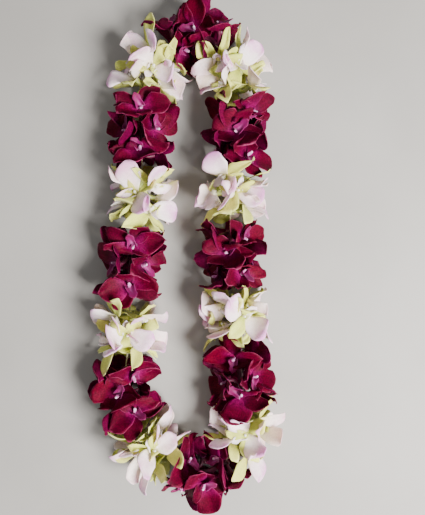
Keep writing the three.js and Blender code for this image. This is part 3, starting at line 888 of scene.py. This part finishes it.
def blade_places(master, k, i, n):
    """Where the vertices of a master blade go as blade n of bloom i of bunch k."""
    f = FRAMES[k][i]
    colour = BUNCHES[k][0]
    kind, angle, length, width, rise, back, lift = BLADES[n]
    seed = 10 + 5 * n
    wander = LIP_CALM if kind == "lip" else 1.0
    angle = math.radians(angle + TURN_DRAW * wander * draw(k, i, seed))
    twist = math.radians(TWIST_DRAW * wander * draw(k, i, seed + 1))
    rise += RISE_DRAW * wander * draw(k, i, seed + 2) + OPENING[colour][kind]
    back += BACK_DRAW * wander * draw(k, i, seed + 3)
    length *= f["size"] * (1 + LENGTH_DRAW * draw(k, i, seed + 4))
    half = f["size"] * width / 2
    flat = f["right"] * math.cos(angle) + f["top"] * math.sin(angle)
    flat_side = np.cross(f["face"], flat)
    lift = math.radians(lift)
    out = flat * math.cos(lift) + f["face"] * math.sin(lift)
    level = np.cross(out, flat_side)
    side = flat_side * math.cos(twist) + level * math.sin(twist)
    front = np.cross(out, side)
    longer, wider, ruffle = SHAPES[colour, kind]
    length, half = length * longer, half * wider
    own = places(master)
    a = -own[:, 0] / np.abs(own[:, 0]).max()
    t = own[:, 1] / own[:, 1].max()
    height = length * (rise * t - back * t ** 2) + own[:, 2]
    curl, wave, hook, phase = (draw(k, i, 60 + 4 * n + j) for j in range(4))
    sway = draw(k, i, 120 + n)
    if kind == "lip":
        tube = np.exp(-((t - TUBE_AT) / TUBE_LENGTH) ** 2)
        waves = ruffle * np.sin(LIP_WAVES * t + 3 * phase) * np.abs(a) ** 3
        height += LIP_TUBE * tube * a ** 2 + waves
        a = a * (1 - TUBE_FOLD * tube * np.abs(a))
    else:
        usual, varies = CUPPED[kind]
        height += half * (usual + varies * curl) * a ** 2 * (CUP_ROOT - CUP_LOST * t)
        waves = np.sin(RUFFLE_WAVES * t + 3 * phase + np.sign(a) * 1.2)
        height += ruffle * waves * np.abs(a) ** 3 * wave
        height += length * hook * np.maximum(t - HOOK_FROM, 0) ** 2 * HOOK
        edge = 1 + EDGE_WAVE * np.sin(EDGE_WAVES * t + 5 * phase + 2 * np.sign(a))
        a = a * edge + SWAY * sway * t ** 2
    q = (f["throat"] + np.outer(t * length, out) + np.outer(a * half, side)
         + np.outer(height, front))
    edges = np.array([edge.vertices[:] for edge in master.data.edges])
    return press_in(q + eased(press_aside(q, k, i) - q, edges), k)


def store(ob, name, values):
    attribute = ob.data.attributes.new(name, "FLOAT", "POINT")
    attribute.data.foreach_set("value", values)


def copy_of(master, new_places, material, tone):
    """A copy of a master with its own mesh, its vertices at new places in millimetres."""
    ob = master.copy()
    ob.data = master.data.copy()
    bpy.context.scene.collection.objects.link(ob)
    put(ob, new_places)
    ob.data.materials.clear()
    ob.data.materials.append(material)
    store(ob, "tone", np.full(len(ob.data.vertices), tone, np.float32))
    return ob


# %% [markdown]
# The stem of a bloom runs from its throat to the thread and then beside the thread to the end
# of the bunch. It follows a curve with four control points, and its rings are set at a right
# angle to that curve.

# %% The round parts of a bloom
STEM_SEAT, STEM_DEPTH = 0.8, 11.5        # its first points, before and behind the throat
BESIDE, BESIDE_END, BESIDE_DRAW = 3.2, 3.4, 0.8
BEND_AT, BEND_TURN, END_TURN = 0.4, 0.5, 0.7
STEM_END_GAP, SLEEVE_END_GAP = 0.6, 0.8
LUMPS, LUMPS_ALONG, LUMPS_ROUND = 0.1, 0.9, 3


def beside_thread(k, s, radius, angle):
    """The point at a distance and an angle from the thread, s past the middle of bunch k."""
    t = along(k, s)
    side = sideways(direction(t)[0])
    return route(t)[0] + radius * (side * math.cos(angle) + np.array([0, 0, math.sin(angle)]))


def stem_places(k, i):
    f = FRAMES[k][i]
    own = places(STEM)
    s = own[:, 2:3] / STEM_LENGTH
    angle = math.atan2(f["outward"][2], f["outward"] @ sideways(f["tangent"]))
    end_s = (f["way"] or 1) * (CORE_HALF_LENGTH[BUNCHES[k][0]] - STEM_END_GAP)
    bend_s = f["s"] * (1 - BEND_AT) + end_s * BEND_AT
    turn = draw(k, i, 85)
    end_radius = BESIDE_END + BESIDE_DRAW * draw(k, i, 86)
    a = f["throat"] + STEM_SEAT * f["face"]
    b = f["throat"] - STEM_DEPTH * f["face"]
    c = beside_thread(k, bend_s, BESIDE, angle + BEND_TURN * turn)
    d = beside_thread(k, end_s, end_radius, angle + END_TURN * turn)
    r = 1 - s
    middle = r ** 3 * a + 3 * r ** 2 * s * b + 3 * r * s ** 2 * c + s ** 3 * d
    way = unit(3 * r ** 2 * (b - a) + 6 * r * s * (c - b) + 3 * s ** 2 * (d - c))
    across = unit(np.cross(f["outward"], f["tangent"]))
    across = unit(across - way * (way @ across)[:, None])
    return middle + own[:, 0:1] * across + own[:, 1:2] * np.cross(way, across)


def throat_places(master, k, i):
    """Where a master goes that stands in the throat, leaning a little to the bloom's top."""
    f = FRAMES[k][i]
    own = places(master)
    lean = own[:, 2:3] / COLUMN_LENGTH
    return (f["throat"] + own[:, 0:1] * f["right"] + (own[:, 1:2] + lean) * f["top"]
            + own[:, 2:3] * f["face"])


def sleeve_places(k):
    own = places(SLEEVE)
    half = CORE_HALF_LENGTH[BUNCHES[k][0]] - SLEEVE_END_GAP
    t = along(k, (own[:, 2] / SLEEVE_LENGTH * 2 - 1) * half)
    angle = np.arctan2(own[:, 1], own[:, 0])
    lumps = 1 + LUMPS * np.sin(LUMPS_ALONG * own[:, 2] + LUMPS_ROUND * angle)
    return (route(t) + sideways(direction(t)) * (own[:, 0] * lumps)[:, None]
            + np.outer(own[:, 1] * lumps, [0, 0, 1]))


# %% [markdown]
# A bunch is one piece. Its blades are joined while they are still sheets, and one Solidify
# gives them all their thickness, thin at the rim and fuller in the middle, because the masters
# carry that as a vertex group. The round parts are closed already, so they join afterwards.

# %% From blooms to a bunch
FLESH = 0.75
THIN_RIM = 0.3
BLOOM_TONE = 0.6                 # the share of a blade's tone that its whole bloom has


def joined(name, parts):
    only(*parts)
    bpy.ops.object.join()
    ob = bpy.context.object
    ob.name = name
    return ob


def bunch_of(k, node):
    colour = BUNCHES[k][0]
    sheets = []
    for i in range(BLOOMS):
        bloom_tone = draw(k, i, 90)
        for n, (kind, *rest) in enumerate(BLADES):
            master = BLADE_MASTERS[colour, kind]
            tone = BLOOM_TONE * bloom_tone + (1 - BLOOM_TONE) * draw(k, i, 91 + n)
            sheets.append(copy_of(master, blade_places(master, k, i, n),
                                  BLADE_FINISHES[colour, kind], tone))
    piece = joined(node + "_blooms", sheets)
    count = len(piece.data.vertices)
    flesh = piece.modifiers.new("flesh", "SOLIDIFY")
    flesh.thickness = FLESH * MM
    flesh.offset = 0
    flesh.vertex_group = "flesh"
    flesh.thickness_vertex_group = THIN_RIM
    only(piece)
    bpy.ops.object.modifier_apply(modifier=flesh.name)
    behind = np.zeros(len(piece.data.vertices), np.float32)
    behind[count:] = 1
    store(piece, "behind", behind)
    flesh_of = {part: ROUND_FINISHES[colour, part] for part in ("column", "anther_cap", "ovary")}
    solids = [copy_of(SLEEVE, sleeve_places(k), flesh_of["ovary"], 0.0)]
    for i in range(BLOOMS):
        tone = draw(k, i, 90)
        for master, part in ((COLUMN, "column"), (CAP, "anther_cap"), (CHIN, "ovary")):
            solids.append(copy_of(master, throat_places(master, k, i), flesh_of[part], tone))
        solids.append(copy_of(STEM, stem_places(k, i), flesh_of["ovary"], tone))
    return joined(node + "_blooms", solids + [piece])


seen = {MAGENTA: 0, WHITE: 0}
pieces = []
for k, (colour, *rest) in enumerate(BUNCHES):
    seen[colour] += 1
    node = f"{colour}_bunch_{seen[colour]}"
    piece = bunch_of(k, node)
    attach(piece, "root")
    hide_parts(node)
    pieces.append(piece)
print("bunches:", len(pieces), "triangles:",
      sum(len(p.vertices) - 2 for ob in pieces for p in ob.data.polygons))

# %% [markdown]
# The thread is cotton of three plies. A torus already is a closed tube with a UV map that runs
# round and along, so its places are carried over to the thread's route, with a section that
# swells three times round and turns as it goes. The knot is a small trefoil of the same kind.

# %% Thread and knot
KNOT_SIZE, KNOT_THREAD = 0.55, 0.45
PLIES, TWISTS, PLY_DEPTH = 3, 180, 0.1


def torus(name, segments, sides):
    bpy.ops.mesh.primitive_torus_add(major_segments=segments, minor_segments=sides,
                                     major_radius=2 * MM, minor_radius=MM, generate_uvs=True)
    ob = newest(name)
    bpy.ops.object.shade_smooth()
    own = places(ob)
    around = np.arctan2(own[:, 1], own[:, 0])
    section = np.arctan2(own[:, 2], np.hypot(own[:, 0], own[:, 1]) - 2)
    return ob, around, section


def tube_places(middle, tangent, section, radius):
    across = unit(sideways(tangent))
    upward = np.cross(across, tangent)
    return (middle + across * (radius * np.cos(section))[:, None]
            + upward * (radius * np.sin(section))[:, None])


def trefoil(w):
    return KNOT_SIZE * np.stack([np.sin(w) + 2 * np.sin(2 * w), np.cos(w) - 2 * np.cos(2 * w),
                                 -np.sin(3 * w)], axis=1)


def thread_piece():
    loop, around, section = torus("thread_loop", 600, 9)
    t = np.mod(around / (2 * math.pi), 1.0)
    plies = np.cos(PLIES * section + TWISTS * around)
    radius = THREAD_RADIUS * (1 - PLY_DEPTH + PLY_DEPTH * plies)
    put(loop, tube_places(route(t), direction(t), section, radius))
    knot, around, section = torus("thread_knot", 90, 8)
    tangent = unit(trefoil(around + 1e-3) - trefoil(around - 1e-3))
    knot_places = tube_places(trefoil(around), tangent, section, KNOT_THREAD)
    put(knot, knot_places + SEAMS[-1]["middle"])
    ob = joined("knotted_thread", [knot, loop])
    ob.location = (0, 0, 0)
    ob.data.materials.append(THREAD_FINISH)
    bpy.ops.object.mode_set(mode="EDIT")
    bpy.ops.mesh.select_all(action="SELECT")
    bpy.ops.mesh.normals_make_consistent(inside=False)
    bpy.ops.object.mode_set(mode="OBJECT")
    return ob


thread = thread_piece()
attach(thread, "root")
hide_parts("thread")
for master in list(MASTERS.objects):
    bpy.data.objects.remove(master)
bpy.data.collections.remove(MASTERS)
print("thread piece:", len(thread.data.polygons), "faces")

# %% [markdown]
# The lei lies on a plain pale table and is seen from straight above, as a phone held over it
# sees it. Soft light comes from the lower right, so the shadows fall to the left of each
# strand, and a dim sky fills them.

# %% Table, light and camera
VIEW_ANGLE = 56
SENSOR = 36
PICTURE_LENGTH = 515.0
PICTURE_MIDDLE = (25.5, -0.5)
TABLE_SIZE = 6
KEY_PLACE, KEY_SIZE, KEY_POWER = (0.75, -0.45, 0.95), 0.5, 62
SKY_STRENGTH = 0.38


def studio():
    bpy.ops.mesh.primitive_plane_add(size=TABLE_SIZE, location=(0, 0, 0))
    floor = bpy.context.object
    floor.name = "table"
    material, tree, shader = new_material("pale_table")
    soft = use(tree, MOTTLE, Scale=6.0)["Soft"]
    colour = mixed(tree, soft, linear(158, 156, 153), linear(166, 164, 161))
    plug(tree, shader, {"Base Color": colour, "Roughness": 0.7})
    floor.data.materials.append(material)
    key = bpy.data.objects.new("key", bpy.data.lights.new("key", "AREA"))
    key.data.size = KEY_SIZE
    key.data.energy = KEY_POWER
    key.data.color = (1.0, 0.97, 0.93)
    key.location = KEY_PLACE
    key.rotation_euler = (-Vector(key.location)).to_track_quat("-Z", "Y").to_euler()
    bpy.context.scene.collection.objects.link(key)
    world = bpy.data.worlds.new("sky")
    world.use_nodes = True
    plug(world.node_tree, world.node_tree.nodes["Background"],
         {"Color": (1.0, 0.98, 0.96, 1), "Strength": SKY_STRENGTH})
    bpy.context.scene.world = world


def camera():
    data = bpy.data.cameras.new("camera")
    ob = bpy.data.objects.new("camera", data)
    bpy.context.scene.collection.objects.link(ob)
    data.sensor_fit = "AUTO"
    data.sensor_width = SENSOR
    data.lens = SENSOR / 2 / math.tan(math.radians(VIEW_ANGLE / 2))
    distance = PICTURE_LENGTH / 2 / math.tan(math.radians(VIEW_ANGLE / 2))
    place = (PICTURE_MIDDLE[0] + SHIFT[0], PICTURE_MIDDLE[1] + SHIFT[1], THREAD_HEIGHT + distance)
    ob.location = [value * MM for value in place]
    bpy.context.scene.camera = ob
    return distance


studio()
print("camera height in mm:", round(camera()))
